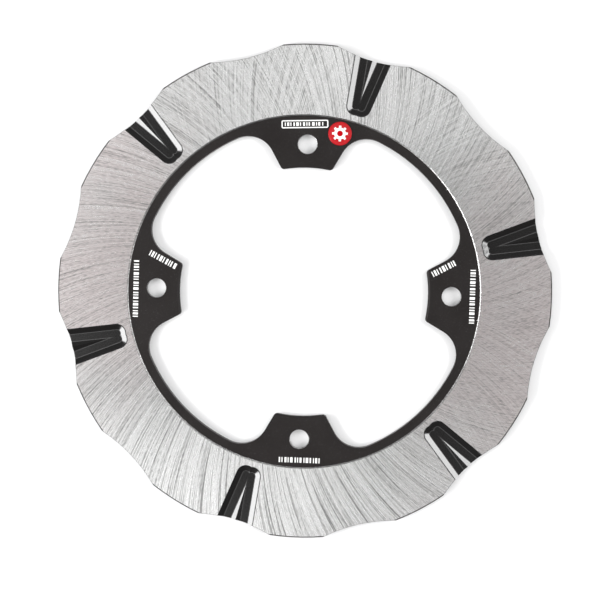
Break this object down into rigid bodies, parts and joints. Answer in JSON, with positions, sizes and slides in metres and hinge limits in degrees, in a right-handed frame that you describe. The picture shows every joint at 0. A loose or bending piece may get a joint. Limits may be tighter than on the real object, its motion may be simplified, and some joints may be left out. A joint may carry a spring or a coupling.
{
  "type": "brake disc",
  "caption": "Flat wave-edged brake disc: ground steel friction band, black-coated carrier lugs with bolt holes, V-shaped cleaning pockets.",
  "frame": {"origin": "on the disc axis, in the plane of the back friction face", "axes": "+Z along the disc axis towards the badge side, +X through one bolt hole and +Y through the bolt hole of the badge lug"},
  "size_m": [0.248, 0.248, 0.0058],
  "materials": {
    "ground_steel": "ground, crossing scratch pattern",
    "black_coating": "satin",
    "gloss_lining": "gloss",
    "red_badge": "gloss",
    "badge_white": "gloss",
    "white_print": "matte"
  },
  "bodies": {
    "root": {"disc_plate": "ground_steel", "carrier_coating": "black_coating", "rim_coating": "black_coating", "pocket_lining_front_1": "gloss_lining", "pocket_lining_front_2": "gloss_lining", "pocket_lining_front_3": "gloss_lining", "pocket_lining_front_4": "gloss_lining", "pocket_lining_front_5": "gloss_lining", "pocket_lining_front_6": "gloss_lining", "pocket_lining_back_1": "gloss_lining", "pocket_lining_back_2": "gloss_lining", "pocket_lining_back_3": "gloss_lining", "pocket_lining_back_4": "gloss_lining", "pocket_lining_back_5": "gloss_lining", "pocket_lining_back_6": "gloss_lining", "badge_button": "red_badge", "badge_emblem": "badge_white", "print_label": "white_print", "print_bars_left_upper": "white_print", "print_bars_left_side": "white_print", "print_bars_right_upper": "white_print", "print_bars_right_side": "white_print", "print_bars_bottom": "white_print"}
  },
  "joints": []
}
